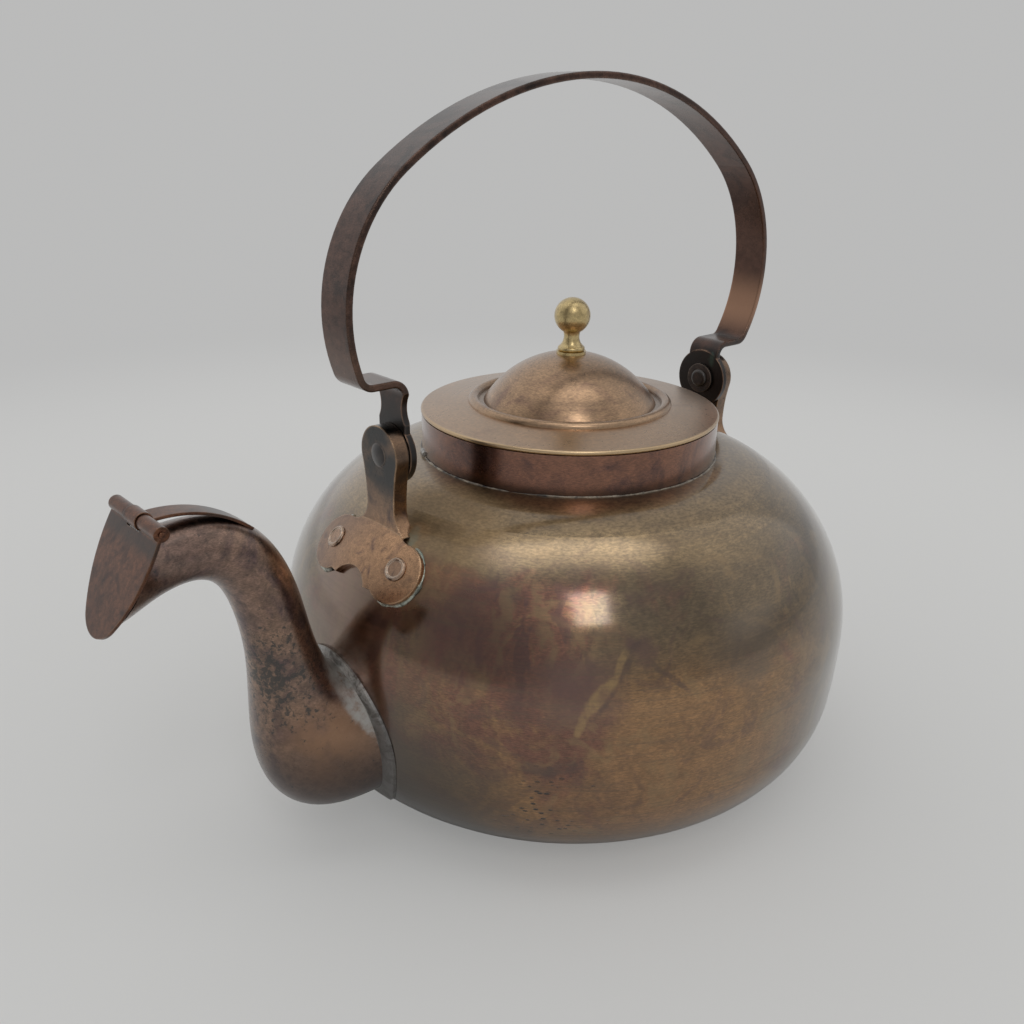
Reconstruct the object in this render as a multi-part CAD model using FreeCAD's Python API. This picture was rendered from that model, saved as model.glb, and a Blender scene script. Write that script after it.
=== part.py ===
import FreeCAD, Part
import math
import os

from FreeCAD import Placement, Rotation, Vector

# Copper kettle with a gooseneck spout, a swing handle and a lift-off lid.
# The axis of the belly is Z, the base stands on z = 0 and the spout points along -X. Millimetres.

# Belly: base corner, side, shoulder and crown are arcs that run into each other.
BODY_RADIUS = 115.0
WIDEST_HEIGHT = 63.0
BASE_CORNER = 42.0
SIDE_CURVE = 257.0
SHOULDER_CURVE = 67.4
CROWN_INSET = 34.0
CROWN_CURVE = 44.0
BODY_SHEET = 1.2

# Neck band, soldered on the shoulder round the opening.
NECK_RADIUS = 58.8
NECK_HEIGHT = 15.1
NECK_WALL = 1.4
NECK_LEDGE = 2.0

# Lid: a rolled rim, a gently rising plate, a bead and a dome, with a ring below that drops into the neck.
LID_SHEET = 1.1
LID_OVERHANG = 0.3
LID_SEAT_GAP = 0.1
LID_RIM = 0.9
LID_RISE = 2.8
BEAD_RADIUS = 38.2
BEAD_SECTION = 2.2
BEAD_GROOVE = 1.1
DOME_RADIUS = 34.2
DOME_HEIGHT = 19.3
FLANGE_DEPTH = 11.0
FLANGE_WALL = 1.0
FLANGE_GAP = 0.4

# Brass knob, with the washer under its foot and the burr that its stud is peened over.
KNOB_STUD = 2.0
KNOB_WASHER_RADIUS = 5.8
KNOB_WASHER_SHEET = 0.7
KNOB_FOOT = 5.3
KNOB_FOOT_HEIGHT = 1.9
KNOB_COVE = 4.7
KNOB_WAIST = 3.1
KNOB_THROAT = 3.4
KNOB_HEIGHT = 13.6
KNOB_BALL = 7.0
KNOB_BURR_RADIUS = 5.0
KNOB_BURR_SHEET = 0.9
KNOB_PEEN_RADIUS = 3.1
KNOB_PEEN_HEIGHT = 1.1

# Spout: sections along the gooseneck, from inside the belly to past the mouth.
SPOUT_ROOT_HEIGHT = 43.0
SPOUT_ROOT_RADIUS = 28.0
SPOUT_REACH = 85.0
SPOUT_RISE = 84.0
SPOUT_SHEET = 1.2
# Each row: reach and rise of the section's centre, half height and half width.
spout_shares = (
    (-0.270, -0.012, 1.000, 0.945),
    (-0.082, 0.018, 1.110, 0.950),
    (0.079, 0.092, 1.030, 0.800),
    (0.185, 0.275, 0.570, 0.590),
    (0.232, 0.510, 0.415, 0.420),
    (0.284, 0.750, 0.393, 0.395),
    (0.395, 0.940, 0.379, 0.380),
    (0.580, 1.004, 0.352, 0.370),
    (0.740, 0.996, 0.395, 0.455),
    (1.000, 0.944, 0.475, 0.575),
)
SPOUT_TILTS = (5.0, 24.0, 43.0, 70.0, 78.0, 69.0, 40.0, 5.0, -9.0, -14.0)
SECTION_POINTS = 12
LEAF_ROWS = 6
CREST_ROWS = 7
SADDLE_ROWS = 5

# Saddle flange that solders the spout's root to the belly.
SADDLE_SHEET = 1.0
SADDLE_WIDTH = 4.5

# Flap hinge on top of the spout's mouth.
hinge_reach_share = 0.718
HINGE_LIFT = 3.8
PIN_RADIUS = 0.9
PIN_CLEARANCE = 0.05
PIN_END = 0.5
LEAF_WIDTH = 8.0
LEAF_SHEET = 1.0
LEAF_GAP = 1.1
leaf_middle_share = 0.50
LEAF_KNUCKLE = 2.9
FLAP_KNUCKLE = 2.4
KNUCKLE_GAP = 0.25

# Flap: a leaf-shaped plate that hangs over the mouth.
FLAP_LEAN = 28.0
FLAP_SHEET = 1.1
FLAP_GAP = 0.35
FLAP_WIDTH = 33.0
FLAP_LENGTH = 37.5
flap_belly_shares = (0.96, 0.50)
flap_cheek_shares = (0.56, 0.88)
FLAP_NOTCH_GAP = 0.4

# Ears: a thick head and stem that run out into a thin two-lobed foot on the shoulder.
PIVOT_LIFT = 25.83
EAR_INSET = 29.0
EAR_THICK = 5.6
EAR_HEAD = 10.4
EAR_WAIST = 8.0
EAR_FLARE = 9.0
EAR_BEND = 38.0
EAR_BITE = 1.2
LOBE_DROP = 12.67
LOBE_SPREAD = 18.2
LOBE_RADIUS = 10.8
LOBE_END_ANGLE = 236.0
CUSP_SPREAD = 8.6
CUSP_DROP = 9.4
ARCH_DROP = 4.4
FOOT_SHEET = 2.0

# Ear rivets, each with a rove inside the belly.
RIVET_RADIUS = 2.0
RIVET_HEAD = 4.2
RIVET_HEAD_HEIGHT = 0.9
RIVET_CHAMFER = 0.5
RIVET_RING = 0.9
RIVET_DISH = 0.35
RIVET_TAIL = 3.0
RIVET_TAIL_HEIGHT = 1.1
ROVE_RADIUS = 5.0
ROVE_SHEET = 1.0
ROVE_SEAT = 0.25

# Handle pivots: the rivet turns in the strap's eye, and the washer keeps the strap against the ear.
PIVOT_RADIUS = 2.6
PIVOT_CLEARANCE = 0.08
PIVOT_SIDE_GAP = 0.2
PIVOT_HEAD = 4.3
PIVOT_HEAD_HEIGHT = 0.9
PIVOT_TAIL = 4.0
PIVOT_TAIL_HEIGHT = 1.3
PIVOT_WASHER = 6.5
PIVOT_WASHER_SHEET = 1.0

# Handle strap: a three-centred arch, a little longer at the rear, stepped in over the ears to its eyes.
STRAP_WIDTH = 15.6
STRAP_SHEET = 2.5
STRAP_EDGE = 0.7
FRONT_EYE_RADIUS = 11.0
REAR_EYE_RADIUS = 12.5
ARCH_LIFT = 48.5
ARCH_RISE = 74.4
ARCH_SIDE = 56.0
ARCH_FRONT_BULGE = 19.4
ARCH_REAR_BULGE = 26.0
ARCH_CROWN_SHIFT = 6.0
STEP_BEND = 5.0
FRONT_STEP_CLEARANCE = 14.3
REAR_STEP_CLEARANCE = 3.9
WAIST_WIDTH = 11.8
WAIST_CURVE = 9.0
WAIST_RISE = 16.5

# Fits and overruns that serve every piece.
FIXED_FIT = 0.05
CUT_OVERRUN = 10.0
QUARTER_TURN = 90

UP = Vector(0, 0, 1)
ACROSS = Vector(0, 1, 0)
ORIGIN = Vector(0, 0, 0)


def at(across, height):
    return Vector(across, 0, height)


def line(start, end):
    return Part.makeLine(at(*start), at(*end))


def on_circle(centre, radius, angle):
    return centre[0] + radius * math.cos(angle), centre[1] + radius * math.sin(angle)


def arc(centre, radius, start, end):
    angles = (start, (start + end) / 2, end)
    return Part.Arc(*(at(*on_circle(centre, radius, angle)) for angle in angles)).toShape()


def bow(start, middle, end):
    return Part.Arc(at(*start), at(*middle), at(*end)).toShape()


def cap(radius, low, rise):
    sphere = (radius ** 2 + rise ** 2) / (2 * rise)
    return arc((0, low + rise - sphere), sphere, math.asin((sphere - rise) / sphere), math.pi / 2)


def face(edges):
    return Part.Face(Part.Wire(edges))


def turned(edges):
    return face(edges).revolve(ORIGIN, UP, 360)


def polygon(points):
    return [line(a, b) for a, b in zip(points, points[1:] + points[:1])]


def rod(radius, start, end):
    return Part.makeCylinder(radius, (end - start).Length, start, end - start)


def slab(low, high):
    size = high - low
    return Part.makeBox(size.x, size.y, size.z, low)


def to_rear(shape):
    rear = shape.copy()
    rear.rotate(ORIGIN, UP, 180)
    return rear


# Belly section
shoulder_centre = (BODY_RADIUS - SHOULDER_CURVE, WIDEST_HEIGHT)
side_centre = (BODY_RADIUS - SIDE_CURVE, WIDEST_HEIGHT)
corner_reach = SIDE_CURVE - BASE_CORNER
corner_drop = WIDEST_HEIGHT - BASE_CORNER
corner_centre = (side_centre[0] + math.sqrt(corner_reach ** 2 - corner_drop ** 2), BASE_CORNER)
corner_angle = -math.asin(corner_drop / corner_reach)
crown_start = math.acos((SHOULDER_CURVE - CROWN_INSET) / SHOULDER_CURVE)
crown_centre = on_circle(shoulder_centre, SHOULDER_CURVE - CROWN_CURVE, crown_start)


def crown_angle(radius):
    return math.acos((radius - crown_centre[0]) / CROWN_CURVE)


def crown_height(radius):
    return on_circle(crown_centre, CROWN_CURVE, crown_angle(radius))[1]


opening_radius = NECK_RADIUS - NECK_WALL - NECK_LEDGE
opening_angle = crown_angle(opening_radius)


def belly_edges(offset):
    return [
        arc(corner_centre, BASE_CORNER + offset, -math.pi / 2, corner_angle),
        arc(side_centre, SIDE_CURVE + offset, corner_angle, 0),
        arc(shoulder_centre, SHOULDER_CURVE + offset, 0, crown_start),
        arc(crown_centre, CROWN_CURVE + offset, crown_start, opening_angle),
    ]


def filled_belly(offset):
    foot = (corner_centre[0], -offset)
    top = on_circle(crown_centre, CROWN_CURVE + offset, opening_angle)
    closing = [line(top, (0, top[1])), line((0, top[1]), (0, foot[1])), line((0, foot[1]), foot)]
    return turned(belly_edges(offset) + closing)


def make_shell():
    outer = belly_edges(0)
    inner = belly_edges(-BODY_SHEET)[::-1]
    rim = on_circle(crown_centre, CROWN_CURVE, opening_angle)
    inner_rim = on_circle(crown_centre, CROWN_CURVE - BODY_SHEET, opening_angle)
    foot = (corner_centre[0], 0)
    inner_foot = (corner_centre[0], BODY_SHEET)
    return turned(outer + [line(rim, inner_rim)] + inner + [line(inner_foot, foot)])


def make_base():
    return Part.makeCylinder(corner_centre[0] - FIXED_FIT, BODY_SHEET)


neck_top = crown_height(NECK_RADIUS) + NECK_HEIGHT
neck_bore = NECK_RADIUS - NECK_WALL


def make_neck():
    foot = arc(crown_centre, CROWN_CURVE, crown_angle(NECK_RADIUS), crown_angle(neck_bore))
    inside = line((neck_bore, crown_height(neck_bore)), (neck_bore, neck_top))
    rim = line((neck_bore, neck_top), (NECK_RADIUS, neck_top))
    outside = line((NECK_RADIUS, neck_top), (NECK_RADIUS, crown_height(NECK_RADIUS)))
    return turned([foot, inside, rim, outside])


# Lid section
lid_radius = NECK_RADIUS + LID_OVERHANG
rim_radius = lid_radius - LID_RIM
lid_seat = neck_top + LID_SEAT_GAP
plate_under = lid_seat + LID_RISE
plate_top = plate_under + LID_SHEET
dome_sphere = (DOME_RADIUS ** 2 + DOME_HEIGHT ** 2) / (2 * DOME_HEIGHT)
dome_centre = (0, plate_top + DOME_HEIGHT - dome_sphere)
dome_inside = dome_sphere - LID_SHEET
stud_hole = KNOB_STUD + FIXED_FIT


def make_lid():
    rim = (rim_radius, lid_seat + LID_RIM)
    rim_top = (rim_radius, lid_seat + 2 * LID_RIM)
    bead = (BEAD_RADIUS, plate_top)
    groove = (BEAD_RADIUS, plate_under)
    foot_angle = math.asin((plate_top - dome_centre[1]) / dome_sphere)
    inner_foot_angle = math.asin((plate_under - dome_centre[1]) / dome_inside)
    crown = on_circle(dome_centre, dome_sphere, math.acos(stud_hole / dome_sphere))
    inner_crown = on_circle(dome_centre, dome_inside, math.acos(stud_hole / dome_inside))
    inner_foot = on_circle(dome_centre, dome_inside, inner_foot_angle)
    return turned([
        arc(rim, LID_RIM, -math.pi / 2, math.pi / 2),
        line(rim_top, (BEAD_RADIUS + BEAD_SECTION, plate_top)),
        arc(bead, BEAD_SECTION, 0, math.pi),
        line((BEAD_RADIUS - BEAD_SECTION, plate_top), (DOME_RADIUS, plate_top)),
        arc(dome_centre, dome_sphere, foot_angle, math.acos(stud_hole / dome_sphere)),
        line(crown, inner_crown),
        arc(dome_centre, dome_inside, math.acos(stud_hole / dome_inside), inner_foot_angle),
        line(inner_foot, (BEAD_RADIUS - BEAD_GROOVE, plate_under)),
        arc(groove, BEAD_GROOVE, math.pi, 0),
        line((BEAD_RADIUS + BEAD_GROOVE, plate_under), (rim_radius, lid_seat)),
    ])


def plate_under_at(radius):
    run = rim_radius - BEAD_RADIUS - BEAD_GROOVE
    return lid_seat + LID_RISE * (rim_radius - radius) / run


def make_lid_flange():
    outer = neck_bore - FLANGE_GAP
    inner = outer - FLANGE_WALL
    low = lid_seat - FLANGE_DEPTH
    return turned(polygon([
        (inner, low), (outer, low), (outer, plate_under_at(outer)), (inner, plate_under_at(inner)),
    ]))


# Knob
dome_top = dome_centre[1] + dome_sphere
knob_seat = dome_top + KNOB_WASHER_SHEET
burr_edge = on_circle(dome_centre, dome_inside, math.acos(KNOB_BURR_RADIUS / dome_inside))
burr_low = burr_edge[1] - KNOB_BURR_SHEET


def ring_on_dome(sphere, radius, flat):
    inner_angle = math.acos(stud_hole / sphere)
    outer_angle = math.acos(radius / sphere)
    inner = on_circle(dome_centre, sphere, inner_angle)
    outer = on_circle(dome_centre, sphere, outer_angle)
    return turned([
        arc(dome_centre, sphere, outer_angle, inner_angle),
        line(inner, (inner[0], flat)),
        line((inner[0], flat), (outer[0], flat)),
        line((outer[0], flat), outer),
    ])


def make_knob():
    ball = (0, knob_seat + KNOB_HEIGHT)
    throat_angle = -math.acos(KNOB_THROAT / KNOB_BALL)
    throat = on_circle(ball, KNOB_BALL, throat_angle)
    foot_top = knob_seat + KNOB_FOOT_HEIGHT
    foot_middle = (knob_seat + foot_top) / 2
    waist = (KNOB_WAIST, (foot_top + throat[1]) / 2)
    peen = (0, burr_low - KNOB_PEEN_HEIGHT)
    return turned([
        line(peen, (KNOB_STUD, peen[1])),
        line((KNOB_STUD, peen[1]), (KNOB_PEEN_RADIUS, burr_low)),
        line((KNOB_PEEN_RADIUS, burr_low), (KNOB_STUD, burr_low)),
        line((KNOB_STUD, burr_low), (KNOB_STUD, knob_seat)),
        line((KNOB_STUD, knob_seat), (KNOB_COVE, knob_seat)),
        bow((KNOB_COVE, knob_seat), (KNOB_FOOT, foot_middle), (KNOB_COVE, foot_top)),
        bow((KNOB_COVE, foot_top), waist, throat),
        arc(ball, KNOB_BALL, throat_angle, math.pi / 2),
        line((0, ball[1] + KNOB_BALL), peen),
    ])


# Spout
def spout_row(row):
    reach, rise, tall, wide = spout_shares[row]
    tilt = math.radians(SPOUT_TILTS[row])
    centre = at(-BODY_RADIUS - reach * SPOUT_REACH, SPOUT_ROOT_HEIGHT + rise * SPOUT_RISE)
    normal = at(math.sin(tilt), math.cos(tilt))
    return centre, normal, tall * SPOUT_ROOT_RADIUS, wide * SPOUT_ROOT_RADIUS


def spout_section(row, offset):
    centre, normal, tall, wide = spout_row(row)
    turns = [number / SECTION_POINTS for number in range(SECTION_POINTS + 1)]
    points = []
    for turn in turns[:-1]:
        up = normal * ((tall + offset) * math.cos(2 * math.pi * turn))
        aside = ACROSS * ((wide + offset) * math.sin(2 * math.pi * turn))
        points.append(centre + up + aside)
    oval = Part.BSplineCurve()
    oval.interpolate(Points=points, PeriodicFlag=True, Parameters=turns)
    return Part.Wire([oval.toShape()])


def spout_loft(offset, rows):
    return Part.makeLoft([spout_section(row, offset) for row in range(rows)], True, False)


spout_solid = spout_loft(0, len(spout_shares))
spout_bore = spout_loft(-SPOUT_SHEET, len(spout_shares))
belly_solid = filled_belly(0)

crest_centre, _, crest_tall, _ = spout_row(CREST_ROWS)
crest_top = crest_centre.z + crest_tall
hinge = at(-BODY_RADIUS - hinge_reach_share * SPOUT_REACH, crest_top + HINGE_LIFT)


def leaned(shape):
    shape.rotate(hinge, ACROSS, FLAP_LEAN)
    return shape


def make_spout():
    mouth = hinge.x + FLAP_SHEET / 2 + FLAP_GAP
    reach = SPOUT_REACH + SPOUT_RISE
    low = Vector(mouth - reach, -reach, hinge.z - reach)
    beyond = slab(low, Vector(mouth, reach, hinge.z + reach))
    return spout_solid.cut(belly_solid).cut(leaned(beyond)).cut(spout_bore)


def make_saddle():
    sheet = filled_belly(SADDLE_SHEET).cut(belly_solid)
    return sheet.common(spout_loft(SADDLE_WIDTH, SADDLE_ROWS)).cut(spout_solid)


def make_hinge_leaf():
    tail_centre, tail_normal, tail_tall, _ = spout_row(LEAF_ROWS)
    tail = tail_centre + tail_normal * (tail_tall - LEAF_SHEET)
    middle_x = -BODY_RADIUS - leaf_middle_share * SPOUT_REACH
    middle = at(middle_x, crest_top + LEAF_GAP)
    under = Part.Arc(tail, middle, at(hinge.x, hinge.z - LEAF_SHEET)).toShape()
    centre = under.Curve.Center
    over = under.copy().scale(1 + LEAF_SHEET / under.Curve.Radius, centre)
    ends = [(under.Vertexes[k].Point, over.Vertexes[k].Point) for k in (0, 1)]
    strip = Part.Face(Part.Wire([
        under, Part.makeLine(*ends[1]), over, Part.makeLine(ends[0][1], ends[0][0]),
    ]))
    half = ACROSS * (LEAF_WIDTH / 2)
    strip.translate(-half)
    knuckle = rod(LEAF_KNUCKLE, hinge - half, hinge + half)
    leaf = strip.extrude(ACROSS * LEAF_WIDTH).fuse(knuckle).cut(spout_solid)
    overrun = half + ACROSS * CUT_OVERRUN
    bore = rod(PIN_RADIUS + PIN_CLEARANCE, hinge - overrun, hinge + overrun)
    return leaf.cut(bore).removeSplitter()


def make_flap():
    half = FLAP_WIDTH / 2
    belly = (half * flap_belly_shares[0], hinge.z - FLAP_LENGTH * flap_belly_shares[1])
    cheek = (half * flap_cheek_shares[0], hinge.z - FLAP_LENGTH * flap_cheek_shares[1])
    left = (-belly[0], belly[1]), (-cheek[0], cheek[1])
    tip = (0, hinge.z - FLAP_LENGTH)
    outline = face([
        line((-half, hinge.z), (half, hinge.z)),
        bow((half, hinge.z), belly, cheek),
        bow(cheek, tip, left[1]),
        bow(left[1], left[0], (-half, hinge.z)),
    ])
    plate = outline.extrude(ACROSS * FLAP_SHEET)
    plate.rotate(ORIGIN, UP, QUARTER_TURN)
    plate.translate(Vector(hinge.x + FLAP_SHEET / 2, 0, 0))
    inner = LEAF_WIDTH / 2 + KNUCKLE_GAP
    ends = [(inner, half), (-half, -inner)]
    for start, end in ends:
        plate = plate.fuse(rod(FLAP_KNUCKLE, hinge + ACROSS * start, hinge + ACROSS * end))
    room = LEAF_KNUCKLE + FLAP_NOTCH_GAP
    notch = slab(hinge - Vector(room, inner, room), hinge + Vector(room, inner, room))
    bore = rod(PIN_RADIUS, hinge - ACROSS * FLAP_WIDTH, hinge + ACROSS * FLAP_WIDTH)
    return leaned(plate.cut(notch).cut(bore).removeSplitter())


def make_hinge_pin():
    half = ACROSS * (FLAP_WIDTH / 2 + PIN_END)
    return rod(PIN_RADIUS, hinge - half, hinge + half)


# Ears: one flat outline, bent at the foot of the stem so that the lobes lie on the shoulder
ear_inner = BODY_RADIUS - EAR_INSET
ear_outer = ear_inner + EAR_THICK
bend_rise = math.sqrt((SHOULDER_CURVE + FOOT_SHEET) ** 2 - (ear_outer - shoulder_centre[0]) ** 2)
bend_height = WIDEST_HEIGHT + bend_rise
lobe_height = bend_height - LOBE_DROP
pivot_height = bend_height + PIVOT_LIFT
rivet_height = bend_height - (bend_height - lobe_height) * math.cos(math.radians(EAR_BEND))
rivet_rise = (rivet_height - WIDEST_HEIGHT) / SHOULDER_CURVE
rivet_belly_radius = shoulder_centre[0] + SHOULDER_CURVE * math.cos(math.asin(rivet_rise))


def ear_outline():
    head = (0, pivot_height)
    lobe = (LOBE_SPREAD, lobe_height)
    flare_run = EAR_WAIST + EAR_FLARE - LOBE_SPREAD
    waist_height = lobe_height + math.sqrt((EAR_FLARE + LOBE_RADIUS) ** 2 - flare_run ** 2)
    flare = (EAR_WAIST + EAR_FLARE, waist_height)
    drop = pivot_height - waist_height
    flank_curve = (EAR_WAIST ** 2 + drop ** 2 - EAR_HEAD ** 2) / (2 * (EAR_HEAD - EAR_WAIST))
    flank = (EAR_WAIST + flank_curve, waist_height)
    head_angle = math.atan2(flank[1] - head[1], flank[0] - head[0])
    lobe_angle = math.atan2(flare[1] - lobe[1], flare[0] - lobe[0])
    lobe_end = math.radians(LOBE_END_ANGLE) - 2 * math.pi
    cusp = (CUSP_SPREAD, lobe_height - CUSP_DROP)
    mirrored = [
        arc(flank, flank_curve, head_angle + math.pi, math.pi),
        arc(flare, EAR_FLARE, math.pi, lobe_angle + math.pi),
        arc(lobe, LOBE_RADIUS, lobe_angle, lobe_end),
        line(on_circle(lobe, LOBE_RADIUS, lobe_end), cusp),
    ]
    other = [edge.mirror(ORIGIN, Vector(1, 0, 0)) for edge in mirrored]
    top = arc(head, EAR_HEAD, head_angle, math.pi - head_angle)
    arch = bow(cusp, (0, lobe_height - ARCH_DROP), (-cusp[0], cusp[1]))
    return face(Part.__sortEdges__([top, arch] + mirrored + other))


def ear_prism(start, end):
    prism = ear_outline().extrude(ACROSS * (end - start))
    prism.translate(ACROSS * start)
    prism.rotate(ORIGIN, UP, QUARTER_TURN)
    return prism


def rivet_places():
    places = []
    for side in (-LOBE_SPREAD, LOBE_SPREAD):
        inward = math.sqrt(rivet_belly_radius ** 2 - side ** 2)
        level = math.cos(math.asin(rivet_rise)) / rivet_belly_radius
        normal = Vector(-inward * level, side * level, rivet_rise)
        places.append(Placement(Vector(-inward, side, rivet_height), Rotation(UP, normal)))
    return places


def placed_solids(shape):
    solids = []
    for place in rivet_places():
        solid = shape.copy()
        solid.Placement = place
        solids.append(solid)
    return Part.makeCompound(solids)


rivet_depth = BODY_SHEET + ROVE_SEAT + ROVE_SHEET
rivet_holes = placed_solids(rod(
    RIVET_RADIUS + FIXED_FIT,
    Vector(0, 0, -rivet_depth - CUT_OVERRUN),
    Vector(0, 0, FOOT_SHEET + CUT_OVERRUN),
))


def make_ear():
    aside = Vector(BODY_RADIUS, BODY_RADIUS, 0)
    above = slab(UP * (bend_height - EAR_BITE) - aside, UP * (bend_height + BODY_RADIUS) + aside)
    below = slab(UP * (bend_height - BODY_RADIUS) - aside, UP * bend_height + aside)
    stem = ear_prism(ear_inner, ear_outer).common(above).cut(belly_solid)
    bent = ear_prism(ear_outer - CUT_OVERRUN, ear_outer + CUT_OVERRUN).common(below)
    bent.rotate(at(-ear_outer, bend_height), ACROSS, EAR_BEND)
    foot = filled_belly(FOOT_SHEET).cut(belly_solid).common(bent)
    ear = stem.fuse(foot).removeSplitter()
    pivot_hole = rod(
        PIVOT_RADIUS + FIXED_FIT,
        at(-ear_inner + CUT_OVERRUN, pivot_height),
        at(-ear_outer - CUT_OVERRUN, pivot_height),
    )
    return ear.cut(rivet_holes).cut(pivot_hole)


def make_ear_rivets():
    head_top = FOOT_SHEET + RIVET_HEAD_HEIGHT
    dish_floor = head_top - RIVET_DISH
    ring_outer = RIVET_HEAD - RIVET_CHAMFER
    ring_inner = RIVET_HEAD - RIVET_RING
    tail_low = -rivet_depth - RIVET_TAIL_HEIGHT
    rivet = turned([
        line((0, tail_low), (RIVET_RADIUS, tail_low)),
        line((RIVET_RADIUS, tail_low), (RIVET_TAIL, -rivet_depth)),
        line((RIVET_TAIL, -rivet_depth), (RIVET_RADIUS, -rivet_depth)),
        line((RIVET_RADIUS, -rivet_depth), (RIVET_RADIUS, FOOT_SHEET)),
        line((RIVET_RADIUS, FOOT_SHEET), (RIVET_HEAD, FOOT_SHEET)),
        line((RIVET_HEAD, FOOT_SHEET), (RIVET_HEAD, head_top - RIVET_CHAMFER)),
        line((RIVET_HEAD, head_top - RIVET_CHAMFER), (ring_outer, head_top)),
        line((ring_outer, head_top), (ring_inner, head_top)),
        line((ring_inner, head_top), (ring_inner - RIVET_DISH, dish_floor)),
        line((ring_inner - RIVET_DISH, dish_floor), (0, dish_floor)),
        line((0, dish_floor), (0, tail_low)),
    ])
    return placed_solids(rivet)


def make_roves():
    top = -BODY_SHEET - ROVE_SEAT
    hole = RIVET_RADIUS + FIXED_FIT
    low = top - ROVE_SHEET
    rove = turned(polygon([(hole, low), (ROVE_RADIUS, low), (ROVE_RADIUS, top), (hole, top)]))
    return placed_solids(rove)


# Handle pivots, written along the axis from the ear inwards
eye_outer = ear_inner - PIVOT_SIDE_GAP
eye_inner = eye_outer - STRAP_SHEET
washer_outer = eye_inner - PIVOT_SIDE_GAP
washer_inner = washer_outer - PIVOT_WASHER_SHEET


def on_pivot_axis(shape):
    shape.rotate(ORIGIN, ACROSS, -90)
    shape.translate(at(0, pivot_height))
    return shape


def make_pivot_rivet():
    tail_low = washer_inner - PIVOT_TAIL_HEIGHT
    tail_round = (PIVOT_TAIL - PIVOT_SIDE_GAP, washer_inner - PIVOT_TAIL_HEIGHT / 2)
    head_top = ear_outer + PIVOT_HEAD_HEIGHT
    return on_pivot_axis(turned([
        line((0, tail_low), (PIVOT_RADIUS, tail_low)),
        bow((PIVOT_RADIUS, tail_low), tail_round, (PIVOT_TAIL, washer_inner)),
        line((PIVOT_TAIL, washer_inner), (PIVOT_RADIUS, washer_inner)),
        line((PIVOT_RADIUS, washer_inner), (PIVOT_RADIUS, ear_outer)),
        line((PIVOT_RADIUS, ear_outer), (PIVOT_HEAD, ear_outer)),
        cap(PIVOT_HEAD, ear_outer, PIVOT_HEAD_HEIGHT),
        line((0, head_top), (0, tail_low)),
    ]))


def make_pivot_washer():
    hole = PIVOT_RADIUS + FIXED_FIT
    return on_pivot_axis(turned(polygon([
        (hole, washer_inner), (PIVOT_WASHER, washer_inner),
        (PIVOT_WASHER, washer_outer), (hole, washer_outer),
    ])))


# Handle
eye_middle = (eye_outer + eye_inner) / 2
arch_height = pivot_height + ARCH_LIFT


def arch_side(reach, clearance, crown_x):
    """Edges of one side of the arch, from the eye up to the crown, drawn on the +X side."""
    step = pivot_height + EAR_HEAD + clearance + STRAP_SHEET / 2
    side = (reach - ARCH_SIDE, arch_height)
    run = side[0] - crown_x
    crown_radius = (run ** 2 + ARCH_RISE ** 2 - ARCH_SIDE ** 2) / (2 * (ARCH_RISE - ARCH_SIDE))
    crown = (crown_x, arch_height + ARCH_RISE - crown_radius)
    bend_top = step + STEP_BEND
    bend_run = math.sqrt((ARCH_SIDE - STEP_BEND) ** 2 - (bend_top - arch_height) ** 2)
    bend = (side[0] + bend_run, bend_top)
    bend_angle = math.atan2(bend[1] - side[1], bend[0] - side[0])
    side_angle = math.atan2(side[1] - crown[1], run)
    inner_bend = (eye_middle + STEP_BEND, step - STEP_BEND)
    return [
        line((eye_middle, pivot_height), (eye_middle, step - STEP_BEND)),
        arc(inner_bend, STEP_BEND, math.pi, math.pi / 2),
        line((inner_bend[0], step), (bend[0], step)),
        arc(bend, STEP_BEND, -math.pi / 2, bend_angle),
        arc(side, ARCH_SIDE, bend_angle, side_angle),
        arc(crown, crown_radius, side_angle, math.pi / 2),
    ]


def strap_section():
    half = STRAP_SHEET / 2 - STRAP_EDGE
    wide = STRAP_WIDTH / 2 - STRAP_EDGE
    corners = [(half, wide), (-half, wide), (-half, -wide), (half, -wide)]
    rounds = []
    for number, (x, y) in enumerate(corners):
        turn = number * QUARTER_TURN
        centre = Vector(eye_middle + x, y, pivot_height)
        rounds.append(Part.makeCircle(STRAP_EDGE, centre, UP, turn, turn + QUARTER_TURN))
    flats = []
    for first, second in zip(rounds, rounds[1:] + rounds[:1]):
        flats.append(Part.makeLine(first.Vertexes[1].Point, second.Vertexes[0].Point))
    return Part.Wire([edge for pair in zip(rounds, flats) for edge in pair])


def make_strap():
    rear = arch_side(ear_inner + ARCH_REAR_BULGE, REAR_STEP_CLEARANCE, ARCH_CROWN_SHIFT)
    front = arch_side(ear_inner + ARCH_FRONT_BULGE, FRONT_STEP_CLEARANCE, -ARCH_CROWN_SHIFT)
    front = [edge.mirror(ORIGIN, Vector(1, 0, 0)) for edge in front]
    path = Part.Wire(rear + front[::-1])
    strap = path.makePipeShell([strap_section()], True, False)
    for side in (1, -1):
        waist = Vector(0, side * (WAIST_WIDTH / 2 + WAIST_CURVE), pivot_height + WAIST_RISE)
        strap = strap.cut(rod(WAIST_CURVE, waist - at(eye_inner, 0), waist - at(ear_outer, 0)))
    for side, radius in ((1, REAR_EYE_RADIUS), (-1, FRONT_EYE_RADIUS)):
        inner = at(side * eye_inner, pivot_height)
        outer = at(side * eye_outer, pivot_height)
        strap = strap.fuse(rod(radius, inner, outer))
    along = at(ear_outer, 0)
    bore = rod(PIVOT_RADIUS + PIVOT_CLEARANCE, at(0, pivot_height) - along, at(0, pivot_height) + along)
    return strap.cut(bore).removeSplitter()


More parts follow.
